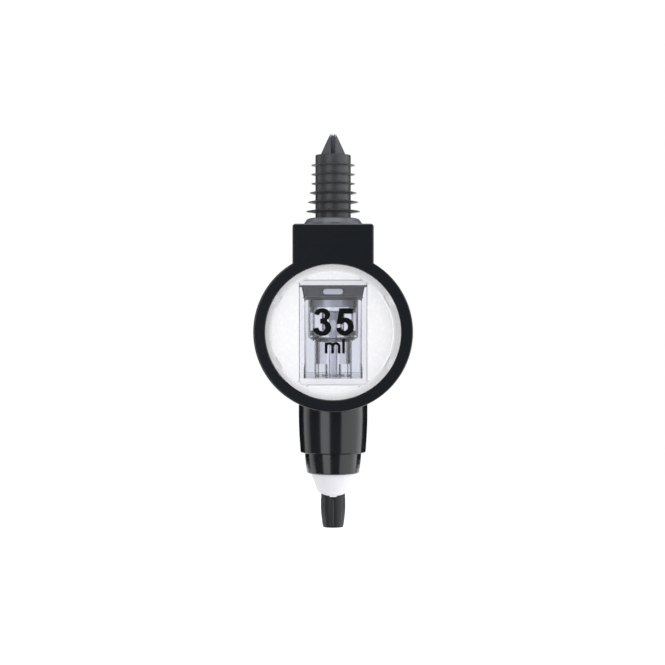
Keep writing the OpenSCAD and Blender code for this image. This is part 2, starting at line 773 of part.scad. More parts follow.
module inlet_valve() {
    r = piston_d / 2;
    foot_z = piston_top_z - piston_h;
    color("#dfe1e4") in_frame() difference() {
        turned([[0, foot_z], [r - 0.4, foot_z], [r, foot_z + 0.4], [r, piston_top_z - 0.8],
            [r - 0.8, piston_top_z], [0, piston_top_z]]);
        rod(spindle_d + 2 * seat_gap, foot_z - past, piston_top_z - 1 + seat_gap);
    }
}

module outlet_valve() {
    head_r = outlet_head_d / 2;
    plug_r = outlet_plug_d / 2;
    plug_z = outlet_head_z - outlet_lap;
    color("#3c3e42") in_frame() difference() {
        turned([[0, plug_z], [plug_r - 0.3, plug_z], [plug_r, plug_z + 0.3],
            [plug_r, outlet_head_z], [head_r, outlet_head_z],
            [head_r, outlet_head_z + outlet_head_h - 0.8], [head_r - 1.6, outlet_head_z + outlet_head_h],
            [0, outlet_head_z + outlet_head_h]]);
        rod(spindle_d + 2 * seat_gap, plug_z - past, outlet_head_z + outlet_head_h + past);
    }
}

module spindle_nut() {
    top_z = hub_top_z - hub_h - seat_gap;
    color("#b9bcc2") in_frame() difference() {
        translate([0, 0, top_z - nut_h]) cylinder(d = nut_d, h = nut_h, $fn = 6);
        rod(spindle_d + 2 * seat_gap, top_z - nut_h - past, top_z + past);
    }
}

// ---- barrel, collar and plunger

module spring_washer() {
    color("#b9bcc2") in_frame() tube(barrel_upper_bore - 3, nozzle_d + 2 * slide_gap,
        barrel_roof_z - spring_washer_t, barrel_roof_z);
}

// one unbroken wire: coil_rings rings to a turn, each a ring of wire_sides points
module return_spring() {
    rings = coil_rings * spring_turns;
    rise = coil_pitch / coil_rings;
    slope = coil_pitch / (PI * spring_d);
    lean = sqrt(1 + slope * slope);
    points = [for (i = [0:rings]) let (a = 360 * i / coil_rings)
        for (k = [0:wire_sides - 1]) let (
            b = 360 * k / wire_sides,
            out = spring_d / 2 + wire_d / 2 * cos(b),
            up = wire_d / 2 * sin(b) / lean)
            [out * cos(a) + up * slope * sin(a),
             out * sin(a) - up * slope * cos(a),
             coil_bottom_z + rise * i + up]];
    sides = [for (i = [0:rings - 1], k = [0:wire_sides - 1]) let (
        here = i * wire_sides,
        next = here + wire_sides,
        m = (k + 1) % wire_sides)
        each [[here + k, next + m, here + m], [here + k, next + k, next + m]]];
    last = rings * wire_sides;
    ends = [for (k = [1:wire_sides - 2]) each [[0, k, k + 1], [last, last + k + 1, last + k]]];
    color("#c4c7cc") in_frame() polyhedron(points, concat(sides, ends));
}

module barrel_collar() {
    bore_r = skirt_d / 2 + slide_gap;
    upper_r = plunger_flange_d / 2 + 0.2;
    thread_r = barrel_bore / 2 - slide_gap;
    top_r = collar_d / 2;
    end_r = collar_end_d / 2;
    steps = 5;
    side = [for (i = [0:steps]) let (t = i / steps)
        [top_r - (top_r - end_r) * pow(t, 1.5), barrel_end_z - (collar_h - 0.9) * t]];
    color("#1f2226") in_frame() turned(concat(
        [[upper_r, ledge_z], [upper_r, collar_top_z], [thread_r, collar_top_z], [thread_r, barrel_end_z]],
        side, arc(end_r - 0.9, collar_end_z + 0.9, 0.9, -20, -90, 4),
        [[bore_r, collar_end_z], [bore_r, ledge_z]]));
}

module plunger_cone() {
    tube_r = tube_d / 2;
    skirt_r = skirt_d / 2;
    end_r = cone_end_d / 2;
    socket_r = spout_d / 2 + seat_gap;
    lip_r = socket_r + 0.6;
    lip_h = 1.9;
    trim_h = cone_arc_r - sqrt(cone_arc_r * cone_arc_r - end_r * end_r);
    curve = [for (i = [0:5]) let (a = 18 * i)
        [lip_r + (end_r - lip_r) * cos(a), cone_end_z + lip_h * (1 - sin(a))]];
    color("#f4f4f6") in_frame() difference() {
        union() {
            turned(concat([[tube_bore / 2, tube_top_z], [tube_bore / 2, funnel_top_z],
                [spout_bore / 2, socket_top_z + seat_gap], [socket_r, socket_top_z + seat_gap],
                [socket_r, cone_end_z], [lip_r, cone_end_z]],
                [for (i = [4:-1:0]) curve[i]],
                [[skirt_r - 0.3, collar_end_z - 0.4], [skirt_r, collar_end_z + 0.8],
                [skirt_r, barrel_end_z - plunger_flange_t],
                [plunger_flange_d / 2, barrel_end_z - plunger_flange_t],
                [plunger_flange_d / 2, barrel_end_z], [tube_r, barrel_end_z], [tube_r, tube_top_z]]));
            spider(hub_d, tube_bore + 1, arm_w, hub_top_z - hub_h, hub_top_z);
            // tab over the front of the spout
            translate([-tab_w / 2, -socket_r - 0.9, cone_end_z - tab_h])
                cube([tab_w, 0.9, tab_h + 1.6]);
        }
        rod(spindle_d + 2 * seat_gap, hub_top_z - hub_h - past, hub_top_z + past);
        // arc that trims the end upwards at both sides
        translate([0, 0, cone_end_z]) for (side = [-1, 1]) difference() {
            translate([side * (tab_w / 2 + end_r) - end_r, -skirt_d, -1])
                cube([2 * end_r, 2 * skirt_d, 2 + trim_h]);
            translate([0, 0, cone_arc_r]) rod_y(2 * cone_arc_r, -skirt_d - past, skirt_d + past);
        }
    }
}

module spout() {
    r = spout_d / 2;
    tip_r = spout_tip_d / 2;
    taper_h = 0.6 * spout_h;
    steps = 7;
    side = [for (i = [0:steps]) let (t = i / steps)
        [tip_r + (r - tip_r) * (1 - pow(t, 1.5)), spout_end_z + taper_h * (1 - t)]];
    color("#2c2e31") in_frame() turned(concat(
        [[spout_bore / 2, socket_top_z], [r, socket_top_z]], side,
        [[tip_r - 0.3, spout_end_z], [spout_bore / 2 + 0.3, spout_end_z],
        [spout_bore / 2, spout_end_z + 0.4]]));
}

pourer_spike();
cork();
breather_tube();
cork_flange();
flange_washer();
body();
rear_cover();
cover_screws();
lens();
face_plate();
chamber();
chamber_plug();
plug_pin();
chamber_cap();
valve_column();
upper_oring();
lower_oring();
inlet_seat();
spindle_guide();
outlet_seat();
spring_washer();
barrel_collar();
return_spring();
plunger_cone();
spout();
spindle();
inlet_valve();
outlet_valve();
spindle_nut();
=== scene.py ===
import math

import bpy
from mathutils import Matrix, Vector


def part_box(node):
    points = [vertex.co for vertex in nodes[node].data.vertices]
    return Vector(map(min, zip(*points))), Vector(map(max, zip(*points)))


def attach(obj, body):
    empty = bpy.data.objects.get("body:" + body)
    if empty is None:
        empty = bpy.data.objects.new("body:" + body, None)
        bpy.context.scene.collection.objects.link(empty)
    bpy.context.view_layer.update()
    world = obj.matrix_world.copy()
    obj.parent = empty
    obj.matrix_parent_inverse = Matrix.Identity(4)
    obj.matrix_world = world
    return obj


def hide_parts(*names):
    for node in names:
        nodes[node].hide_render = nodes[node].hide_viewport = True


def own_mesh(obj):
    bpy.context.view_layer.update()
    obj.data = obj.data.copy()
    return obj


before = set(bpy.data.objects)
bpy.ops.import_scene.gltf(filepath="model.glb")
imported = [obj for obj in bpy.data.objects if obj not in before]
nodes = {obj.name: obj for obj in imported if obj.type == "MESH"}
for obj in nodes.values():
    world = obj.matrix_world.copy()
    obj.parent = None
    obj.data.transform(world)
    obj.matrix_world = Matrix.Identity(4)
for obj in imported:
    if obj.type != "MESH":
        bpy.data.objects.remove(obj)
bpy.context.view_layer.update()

scene = bpy.context.scene


def centreOf(node):
    low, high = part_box(node)
    return (low + high) / 2


valveY = centreOf("spout").y  # the valve axis stands at x = 0
ringZ = centreOf("lens").z  # height of the ring's centre


def fromRing(x, y, z):  # millimetres from the ring's centre on the valve axis
    return Vector((x / 1000, valveY + y / 1000, ringZ + z / 1000))


def linear(hexText):  # sRGB hex to the linear colour that a socket takes
    parts = [int(hexText[i:i + 2], 16) / 255 for i in (1, 3, 5)]
    return [c / 12.92 if c <= 0.04045 else ((c + 0.055) / 1.055) ** 2.4 for c in parts] + [1]


def addNode(tree, kind, settings=None, inputs=None):
    node = tree.nodes.new(kind)
    for name, value in (settings or {}).items():
        setattr(node, name, value)
    for name, value in (inputs or {}).items():
        if isinstance(value, bpy.types.NodeSocket):
            tree.links.new(value, node.inputs[name])
        else:
            node.inputs[name].default_value = value
    return node


# camera

view = {
    "distance": 808,  # mm from the valve axis
    "side": -0.285,
    "height": -0.14,
    "lens": 92.1,
    "sensor": 36,
}
cameraData = bpy.data.cameras.new("camera")
cameraData.lens = view["lens"]
cameraData.sensor_width = view["sensor"]
cameraData.clip_start = 0.01  # metres
cameraData.clip_end = 100
camera = bpy.data.objects.new("camera", cameraData)
camera.location = fromRing(view["side"], -view["distance"], view["height"])
camera.rotation_euler = (math.radians(90), 0, 0)
scene.collection.objects.link(camera)
scene.camera = camera
print("camera placed")


# light

lampLift = 0.1  # metres above the ring's centre
lampSet = {  # azimuths in degrees from the camera's side, distances in metres
    "stripLeft": {"from": -43, "to": -12, "distance": 1.1, "tall": 1.5, "radiance": 2.1},
    "sideLeft": {"from": -116, "to": -86, "distance": 1.1, "tall": 1.5, "radiance": 0.56},
    "panelRight": {"from": 28, "to": 115, "distance": 1.1, "tall": 1.3, "radiance": 1.47},
}
for lampName, lamp in lampSet.items():
    middle = math.radians((lamp["from"] + lamp["to"]) / 2)
    half = math.radians((lamp["to"] - lamp["from"]) / 2)
    away = lamp["distance"] * math.cos(half)
    data = bpy.data.lights.new(lampName, "AREA")
    data.shape = "RECTANGLE"
    data.size = 2 * lamp["distance"] * math.sin(half)
    data.size_y = lamp["tall"]
    data.energy = lamp["radiance"] * math.pi * data.size * data.size_y
    lampObject = bpy.data.objects.new(lampName, data)
    outward = Vector((math.sin(middle), -math.cos(middle), 0))
    lampObject.location = fromRing(0, 0, 0) + away * outward + Vector((0, 0, lampLift))
    lampObject.rotation_euler = outward.to_track_quat("Z", "Y").to_euler()
    lampObject.visible_camera = False
    scene.collection.objects.link(lampObject)

overhead = {"height": 1.1, "forward": 0.15, "wide": 0.9, "deep": 0.7, "radiance": 1.8}
data = bpy.data.lights.new("overhead", "AREA")
data.shape = "RECTANGLE"
data.size = overhead["wide"]
data.size_y = overhead["deep"]
data.energy = overhead["radiance"] * math.pi * data.size * data.size_y
lampObject = bpy.data.objects.new("overhead", data)  # an area lamp points down by itself
lampObject.location = fromRing(0, -1000 * overhead["forward"], 1000 * overhead["height"])
lampObject.visible_camera = False
scene.collection.objects.link(lampObject)

# black cards behind the object, seen only in gloss: they keep its edges dark, and the gap
# between them lights its back
cardSet = {"from": 116, "to": 172, "distance": 1.15, "tall": 2.2}
blackCard = bpy.data.materials.new("blackCard")
blackCard.use_nodes = True
blackCard.node_tree.nodes.clear()
addNode(blackCard.node_tree, "ShaderNodeOutputMaterial", inputs={
    "Surface": addNode(blackCard.node_tree, "ShaderNodeBsdfDiffuse",
                       inputs={"Color": linear("#050505")}).outputs[0]})
for side in (-1, 1):
    rim = []
    for azimuth, up in (("from", -0.5), ("to", -0.5), ("to", 0.5), ("from", 0.5)):
        turn = side * math.radians(cardSet[azimuth])
        rim.append(fromRing(0, 0, 0) + Vector((math.sin(turn) * cardSet["distance"],
                                               -math.cos(turn) * cardSet["distance"],
                                               up * cardSet["tall"])))
    cardMesh = bpy.data.meshes.new("card")
    cardMesh.from_pydata(rim, [], [(0, 1, 2, 3)])
    cardMesh.materials.append(blackCard)
    card = bpy.data.objects.new("cardLeft" if side < 0 else "cardRight", cardMesh)
    scene.collection.objects.link(card)
    card.visible_camera = False
    card.visible_diffuse = False
    card.visible_transmission = False
    card.visible_shadow = False

roomLight = {
    "ambient": 0.44,  # on matt surfaces
    "front": 0.12,  # mirrored in gloss from the camera's side
    "back": 1.0,  # mirrored in gloss from behind
    "turnFrom": -0.1,  # the heading's share of +Y at which front turns into back
    "turnTo": 0.25,
}
world = bpy.data.worlds.new("studio")
scene.world = world
world.use_nodes = True
tree = world.node_tree
tree.nodes.clear()
path = addNode(tree, "ShaderNodeLightPath").outputs
heading = addNode(tree, "ShaderNodeTexCoord").outputs["Generated"]
alongY = addNode(tree, "ShaderNodeSeparateXYZ", inputs={0: heading}).outputs["Y"]
gloss = addNode(tree, "ShaderNodeMapRange", inputs={
    "Value": alongY, "From Min": roomLight["turnFrom"], "From Max": roomLight["turnTo"],
    "To Min": roomLight["front"], "To Max": roomLight["back"]}).outputs[0]
seen = addNode(tree, "ShaderNodeMath", {"operation": "MAXIMUM"},
               {0: path["Is Camera Ray"], 1: path["Is Transmission Ray"]}).outputs[0]
strength = addNode(tree, "ShaderNodeMix", inputs={
    0: path["Is Glossy Ray"], 2: roomLight["ambient"], 3: gloss}).outputs[0]
strength = addNode(tree, "ShaderNodeMix", inputs={0: seen, 2: strength, 3: 1.0}).outputs[0]
glow = addNode(tree, "ShaderNodeBackground", inputs={"Color": (1, 1, 1, 1), "Strength": strength})
addNode(tree, "ShaderNodeOutputWorld", inputs={"Surface": glow.outputs[0]})

floorSet = {
    "drop": 200,  # mm below the ring's centre: the bar top under the spout
    "wide": 1.0,  # metres
    "front": -0.07,  # ends just before the object, so the glossy collar doesn't mirror it
    "back": 1.5,
    "colour": "#f4f4f5",
    "fill": 0.8,  # its own light, to the camera and in gloss and glass only
}
low = fromRing(0, 0, -floorSet["drop"]).z
half, near, far = floorSet["wide"] / 2, floorSet["front"], floorSet["back"]
floorMesh = bpy.data.meshes.new("floor")
floorMesh.from_pydata([(-half, near, low), (half, near, low), (half, far, low), (-half, far, low)],
                      [], [(0, 1, 2, 3)])
floor = bpy.data.objects.new("floor", floorMesh)
scene.collection.objects.link(floor)
paper = bpy.data.materials.new("studioPaper")
paper.use_nodes = True
tree = paper.node_tree
tree.nodes.clear()
path = addNode(tree, "ShaderNodeLightPath").outputs
seen = addNode(tree, "ShaderNodeMath", {"operation": "MAXIMUM"},
               {0: path["Is Camera Ray"], 1: path["Is Transmission Ray"]}).outputs[0]
seen = addNode(tree, "ShaderNodeMath", {"operation": "MAXIMUM"},
               {0: seen, 1: path["Is Glossy Ray"]}).outputs[0]
fill = addNode(tree, "ShaderNodeMath", {"operation": "MULTIPLY"}, {0: seen, 1: floorSet["fill"]})
matt = addNode(tree, "ShaderNodeBsdfDiffuse", inputs={"Color": linear(floorSet["colour"])})
shine = addNode(tree, "ShaderNodeEmission", inputs={"Strength": fill.outputs[0]})
both = addNode(tree, "ShaderNodeAddShader", inputs={0: matt.outputs[0], 1: shine.outputs[0]})
addNode(tree, "ShaderNodeOutputMaterial", inputs={"Surface": both.outputs[0]})
floorMesh.materials.append(paper)
print("light and floor placed")


# finishes

def mouldedFinish(name, look):
    material = bpy.data.materials.new(name)
    material.use_nodes = True
    tree = material.node_tree
    tree.nodes.clear()
    place = addNode(tree, "ShaderNodeTexCoord").outputs["Object"]
    flow = addNode(tree, "ShaderNodeTexNoise", inputs={
        "Vector": place, "Scale": 1000 / look["flow"], "Detail": 3.0}).outputs[0]
    grain = addNode(tree, "ShaderNodeTexNoise", inputs={
        "Vector": place, "Scale": 1000 / look["grain"], "Detail": 2.0}).outputs[0]
    colour = addNode(tree, "ShaderNodeMix", {"data_type": "RGBA"}, {
        0: flow, 6: linear(look["colour"]), 7: linear(look["second"])}).outputs[2]
    rough = addNode(tree, "ShaderNodeMapRange", inputs={
        "Value": grain, "From Min": 0.3, "From Max": 0.7,
        "To Min": look["rough"][0], "To Max": look["rough"][1]}).outputs[0]
    relief = addNode(tree, "ShaderNodeBump", inputs={
        "Height": grain, "Strength": look["bump"], "Distance": look["relief"] / 1000}).outputs[0]
    skin = addNode(tree, "ShaderNodeBsdfPrincipled", inputs={
        "Base Color": colour, "Roughness": rough, "Normal": relief,
        "IOR": look["ior"], "Metallic": look.get("metallic", 0.0)})
    for key, socket in (("sheen", "Sheen Weight"), ("clear", "Transmission Weight")):
        if key in look:
            skin.inputs[socket].default_value = look[key]
    addNode(tree, "ShaderNodeOutputMaterial", inputs={"Surface": skin.outputs[0]})
    return material


def clearFinish(name, look):
    material = bpy.data.materials.new(name)
    material.use_nodes = True
    tree = material.node_tree
    tree.nodes.clear()
    place = addNode(tree, "ShaderNodeTexCoord").outputs["Object"]
    path = addNode(tree, "ShaderNodeLightPath").outputs
    ripple = addNode(tree, "ShaderNodeTexNoise", inputs={
        "Vector": place, "Scale": 1000 / look["ripple"], "Detail": 1.0}).outputs[0]
    relief = addNode(tree, "ShaderNodeBump", inputs={
        "Height": ripple, "Strength": look["bump"], "Distance": look["relief"] / 1000}).outputs[0]
    body = addNode(tree, "ShaderNodeBsdfPrincipled", inputs={
        "Base Color": linear(look["colour"]), "Roughness": look["rough"], "Normal": relief,
        "IOR": look["ior"], "Transmission Weight": 1.0})
    through = addNode(tree, "ShaderNodeBsdfTransparent", inputs={"Color": linear(look["shade"])})
    straight = path["Is Shadow Ray"]
    if look.get("window"):  # what lies behind is lit as if through thin air
        straight = addNode(tree, "ShaderNodeMath", {"operation": "MAXIMUM"},
                           {0: straight, 1: path["Is Diffuse Ray"]}).outputs[0]
    both = addNode(tree, "ShaderNodeMixShader", inputs={
        0: straight, 1: body.outputs[0], 2: through.outputs[0]})
    addNode(tree, "ShaderNodeOutputMaterial", inputs={"Surface": both.outputs[0]})
    return material


# ABS in black, moulded in a polished tool: deep gloss with a slight ripple
blackAbs = mouldedFinish("blackAbs", {
    "colour": "#11151a", "second": "#14181d", "flow": 18, "grain": 2.2,
    "rough": (0.15, 0.19), "bump": 0.12, "relief": 0.02, "ior": 1.54})
# polypropylene in dark grey, satin tool: soft highlights on the spike
greyPolypropylene = mouldedFinish("greyPolypropylene", {
    "colour": "#47494e", "second": "#505258", "flow": 6, "grain": 0.5,
    "rough": (0.44, 0.54), "bump": 0.25, "relief": 0.02, "ior": 1.42})
# polypropylene in mid grey for the flange, whose bevel catches the light
flangePolypropylene = mouldedFinish("flangePolypropylene", {
    "colour": "#62656c", "second": "#6a6d74", "flow": 6, "grain": 0.5,
    "rough": (0.22, 0.3), "bump": 0.2, "relief": 0.02, "ior": 1.49})
# thermoplastic rubber in dark grey: waxy gloss, with a slight bloom at its edges
corkRubber = mouldedFinish("corkRubber", {
    "colour": "#2e3035", "second": "#383a3f", "flow": 5, "grain": 0.35,
    "rough": (0.38, 0.48), "bump": 0.3, "relief": 0.02, "ior": 1.52, "sheen": 0.06})
# nitrile rubber: nearly black, matt
sealRubber = mouldedFinish("sealRubber", {
    "colour": "#17181a", "second": "#1d1e20", "flow": 3, "grain": 0.3,
    "rough": (0.55, 0.7), "bump": 0.3, "relief": 0.02, "ior": 1.52, "sheen": 0.1})
# grey thermoplastic rubber of the chamber's plug
plugRubber = mouldedFinish("plugRubber", {
    "colour": "#292b2f", "second": "#313337", "flow": 6, "grain": 0.5,
    "rough": (0.4, 0.5), "bump": 0.2, "relief": 0.02, "ior": 1.5})
# high-impact polystyrene in white: even gloss
whitePolystyrene = mouldedFinish("whitePolystyrene", {
    "colour": "#fbfbfc", "second": "#f8f8fa", "flow": 15, "grain": 1.8,
    "rough": (0.22, 0.3), "bump": 0.1, "relief": 0.02, "ior": 1.59})
# acetal in a colder white for the sliding cone: waxy, a little duller
whiteAcetal = mouldedFinish("whiteAcetal", {
    "colour": "#eeeef3", "second": "#e8e8ee", "flow": 6, "grain": 0.8,
    "rough": (0.3, 0.38), "bump": 0.15, "relief": 0.02, "ior": 1.48})
# polypropylene in its natural state: milky, lets most light through
naturalPolypropylene = mouldedFinish("naturalPolypropylene", {
    "colour": "#f6f7f9", "second": "#f0f1f4", "flow": 5, "grain": 0.6,
    "rough": (0.25, 0.35), "bump": 0.15, "relief": 0.01, "ior": 1.49, "clear": 0.85})
# acetal in its natural milky white: waxy satin
naturalAcetal = mouldedFinish("naturalAcetal", {
    "colour": "#f0f1f3", "second": "#e8eaed", "flow": 5, "grain": 0.6,
    "rough": (0.35, 0.45), "bump": 0.15, "relief": 0.01, "ior": 1.48, "clear": 0.3})
# ABS in black for the spout, spark-eroded mould: dull, spreads the light
spoutAbs = mouldedFinish("spoutAbs", {
    "colour": "#0e1116", "second": "#12151a", "flow": 8, "grain": 0.8,
    "rough": (0.44, 0.54), "bump": 0.2, "relief": 0.02, "ior": 1.46})
# the same ABS on the ribs, painted greyer as a highlight along their crowns, and smoother
ribHighlightAbs = mouldedFinish("ribHighlightAbs", {
    "colour": "#26282c", "second": "#303337", "flow": 3, "grain": 0.5,
    "rough": (0.3, 0.4), "bump": 0.2, "relief": 0.01, "ior": 1.54})
# silicone rubber: pale and milky, lets light through
paleSilicone = mouldedFinish("paleSilicone", {
    "colour": "#e2e4e8", "second": "#eaecef", "flow": 4, "grain": 0.4,
    "rough": (0.4, 0.5), "bump": 0.2, "relief": 0.02, "ior": 1.41, "clear": 0.6})
# 304 stainless steel, drawn and tumbled: fine dull grain
stainlessSteel = mouldedFinish("stainlessSteel", {
    "colour": "#c9cbce", "second": "#bcbec2", "flow": 3, "grain": 0.25,
    "rough": (0.2, 0.34), "bump": 0.2, "relief": 0.01, "ior": 1.5, "metallic": 1.0})
# acrylic: water clear, with an almost flat surface
clearAcrylic = clearFinish("clearAcrylic", {
    "colour": "#fdfdff", "shade": "#ffffff", "rough": 0.0, "ior": 1.49,
    "ripple": 9, "bump": 0.05, "relief": 0.02, "window": True})
# styrene acrylonitrile: clear with a cold grey cast, its walls slightly wavy;
# its index is matched, because a higher one turns the side walls dark
clearSan = clearFinish("clearSan", {
    "colour": "#eceef4", "shade": "#eceef4", "rough": 0.0, "ior": 1.38,
    "ripple": 6, "bump": 0.08, "relief": 0.03})
# the same plastic where its mould was blasted: frosted, spreads the light it takes in
frostedSan = mouldedFinish("frostedSan", {
    "colour": "#f6f7fb", "second": "#eeeff5", "flow": 4, "grain": 0.3,
    "rough": (0.45, 0.6), "bump": 0.3, "relief": 0.02, "ior": 1.57, "clear": 0.15})
# general-purpose polystyrene, as clear but without the cast: the valve column
clearStyrene = clearFinish("clearStyrene", {
    "colour": "#fbfbfd", "shade": "#f2f3f6", "rough": 0.02, "ior": 1.59,
    "ripple": 5, "bump": 0.1, "relief": 0.04})

finishOf = {
    "pourer_spike": greyPolypropylene,
    "cork": corkRubber,
    "breather_tube": stainlessSteel,
    "cork_flange": flangePolypropylene,
    "flange_washer": sealRubber,
    "body": blackAbs,
    "rear_cover": blackAbs,
    "cover_screws": stainlessSteel,
    "lens": clearAcrylic,
    "face_plate": whitePolystyrene,
    "chamber": clearSan,
    "chamber_plug": plugRubber,
    # the pin's pale colour is a painted highlight, where light shows through the plug's hole
    "plug_pin": naturalAcetal,
    "chamber_cap": frostedSan,
    "valve_column": clearStyrene,
    "upper_oring": paleSilicone,
    "lower_oring": paleSilicone,
    "inlet_seat": naturalAcetal,
    "spindle_guide": naturalAcetal,
    "outlet_seat": sealRubber,
    "spring_washer": stainlessSteel,
    "barrel_collar": blackAbs,
    "return_spring": stainlessSteel,
    "plunger_cone": whiteAcetal,
    "spout": spoutAbs,
    "spindle": naturalPolypropylene,
    "inlet_valve": paleSilicone,
    "outlet_valve": sealRubber,
    "spindle_nut": stainlessSteel,
}
for nodeName, finish in finishOf.items():
    if nodeName in nodes:
        slots = nodes[nodeName].data.materials
        slots.clear()
        slots.append(finish)
print("finishes given to", len(finishOf), "nodes")


# measuring chamber: clear, with a frosted front edge on its floor

chamberSet = {
    "floorTop": -21.4,  # mm from the ring's centre: everything lower is the floor
    "facing": -0.7,  # a face whose normal's y is under this looks to the front
}


def halves(corners, height):  # a face's part above a level, and its part below
    above, below = [], []
    for i, (place, normal) in enumerate(corners):
        nextPlace, nextNormal = corners[(i + 1) % len(corners)]
        if place.z >= height:
            above.append((place, normal))
        if place.z <= height:
            below.append((place, normal))
        if (place.z - height) * (nextPlace.z - height) < 0:
            ends = ((place, normal), (nextPlace, nextNormal))
            lower, upper = sorted(ends, key=lambda end: end[0].z)
            share = (height - lower[0].z) / (upper[0].z - lower[0].z)
            cut = (lower[0].lerp(upper[0], share), lower[1].lerp(upper[1], share).normalized())
            above.append(cut)
            below.append(cut)
    return above, below


def mergedCopy(nodeName, pieceName, height):  # a CAD node's faces joined up, parted at one level
    source = nodes[nodeName].data
    known, places, faces, normals = {}, [], [], []
    for polygon in source.polygons:
        corners = [(source.vertices[source.loops[k].vertex_index].co,
                    source.corner_normals[k].vector) for k in polygon.loop_indices]
        for part in halves(corners, height):
            turn = []
            for place, normal in part:
                key = tuple(round(c, 6) for c in place)
                if key not in known:
                    known[key] = len(places)
                    places.append(place.copy())
                turn.append(known[key])
            if len(part) > 2 and len(set(turn)) == len(turn):
                faces.append(turn)
                normals += [normal.copy() for place, normal in part]
    mesh = bpy.data.meshes.new(pieceName)
    mesh.from_pydata(places, [], faces)
    mesh.shade_smooth()
    mesh.normals_split_custom_set(normals)
    piece = bpy.data.objects.new(pieceName, mesh)
    scene.collection.objects.link(piece)
    return piece


cup = mergedCopy("chamber", "chamberCup", fromRing(0, 0, chamberSet["floorTop"]).z)
cup.data.materials.append(clearSan)
cup.data.materials.append(frostedSan)
for face in cup.data.polygons:
    low = (face.center.z - ringZ) * 1000 < chamberSet["floorTop"]
    face.material_index = 1 if low and face.normal.y < chamberSet["facing"] else 0
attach(cup, "housing")
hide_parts("chamber")
print("chamber frosted on", sum(f.material_index for f in cup.data.polygons), "faces")


# return spring

springSet = {
    "meanRadius": 9.7,
    "wireRadius": 0.55,
    "top": -40.15,
    "bottom": -56.45,
    "turns": 5.5,
    "steps": 48,
    "sides": 16,
    "fixedEnd": -39.6,  # the end that stays when the plunger is pushed
    "keep": 0.54,  # share of its length that is left at full travel
}


def springTree():
    tree = bpy.data.node_groups.new("coiledWire", "GeometryNodeTree")
    for name in ("Turns", "Mean radius", "Wire radius", "Height"):
        tree.interface.new_socket(name, in_out="INPUT", socket_type="NodeSocketFloat")
    for name in ("Steps", "Sides"):
        tree.interface.new_socket(name, in_out="INPUT", socket_type="NodeSocketInt")
    tree.interface.new_socket("Foot", in_out="INPUT", socket_type="NodeSocketVector")
    tree.interface.new_socket("Finish", in_out="INPUT", socket_type="NodeSocketMaterial")
    tree.interface.new_socket("Geometry", in_out="OUTPUT", socket_type="NodeSocketGeometry")
    given = addNode(tree, "NodeGroupInput").outputs
    helix = addNode(tree, "GeometryNodeCurveSpiral", inputs={
        "Resolution": given["Steps"], "Rotations": given["Turns"],
        "Start Radius": given["Mean radius"], "End Radius": given["Mean radius"],
        "Height": given["Height"]})
    wire = addNode(tree, "GeometryNodeCurvePrimitiveCircle", inputs={
        "Resolution": given["Sides"], "Radius": given["Wire radius"]})
    coil = addNode(tree, "GeometryNodeCurveToMesh", inputs={
        "Curve": helix.outputs[0], "Profile Curve": wire.outputs[0], "Fill Caps": True})
    smooth = addNode(tree, "GeometryNodeSetShadeSmooth", inputs={"Geometry": coil.outputs[0]})
    moved = addNode(tree, "GeometryNodeTransform", inputs={
        "Geometry": smooth.outputs[0], "Translation": given["Foot"]})
    real = addNode(tree, "GeometryNodeRealizeInstances", inputs={"Geometry": moved.outputs[0]})
    dressed = addNode(tree, "GeometryNodeSetMaterial", inputs={
        "Geometry": real.outputs[0], "Material": given["Finish"]})
    addNode(tree, "NodeGroupOutput", inputs={"Geometry": dressed.outputs[0]})
    return tree


def grown(name, tree, values):  # runs a tree and keeps its result as a plain mesh
    piece = bpy.data.objects.new(name, bpy.data.meshes.new(name))
    scene.collection.objects.link(piece)
    modifier = piece.modifiers.new(name, "NODES")
    modifier.node_group = tree
    for item in tree.interface.items_tree:
        if item.in_out == "INPUT":
            modifier[item.identifier] = values[item.name]
    ready = piece.evaluated_get(bpy.context.evaluated_depsgraph_get())
    mesh = bpy.data.meshes.new_from_object(ready)
    piece.modifiers.remove(modifier)
    piece.data = mesh
    mesh.name = name
    return piece


springFoot = fromRing(0, 0, springSet["bottom"])
spring = grown("springCoil", springTree(), {
    "Turns": springSet["turns"],
    "Mean radius": springSet["meanRadius"] / 1000,
    "Wire radius": springSet["wireRadius"] / 1000,
    "Height": (springSet["top"] - springSet["bottom"]) / 1000,
    "Steps": springSet["steps"],
    "Sides": springSet["sides"],
    "Foot": springFoot,
    "Finish": stainlessSteel,
})
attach(spring, "housing")
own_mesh(spring)
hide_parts("return_spring")
print("spring wound:", len(spring.data.polygons), "faces")


# capacity print on the lens

printSet = {
    "front": -26.09,  # mm, the lens's proud face
    "sunk": 0.01,  # how far the ink's back lies in the lens
    "thick": 0.06,
    "top": 11.03,
    "foot": -1.70,
    "threeSides": (-9.24, -0.83),
    "fiveSides": (1.15, 9.56),
    "unitFoot": -9.79,
    "unitTop": -3.08,
    "letterTop": -4.60,
    "firstSides": (-3.86, 3.40),
    "secondSides": (4.15, 5.4),
    "stem": 1.28,  # width of the letter's stems
}
# pad-printed ink in black: thin, slightly satin
printInk = mouldedFinish("printInk", {
    "colour": "#07090c", "second": "#0a0c0f", "flow": 4, "grain": 0.4,
    "rough": (0.12, 0.18), "bump": 0.1, "relief": 0.005, "ior": 1.5})


def bend(x, z, rx, rz, start, end, steps=28):  # points on an ellipse, degrees from +X towards +Z
    turn = [math.radians(start + (end - start) * i / steps) for i in range(steps + 1)]
    return [(x + rx * math.cos(a), z + rz * math.sin(a)) for a in turn]


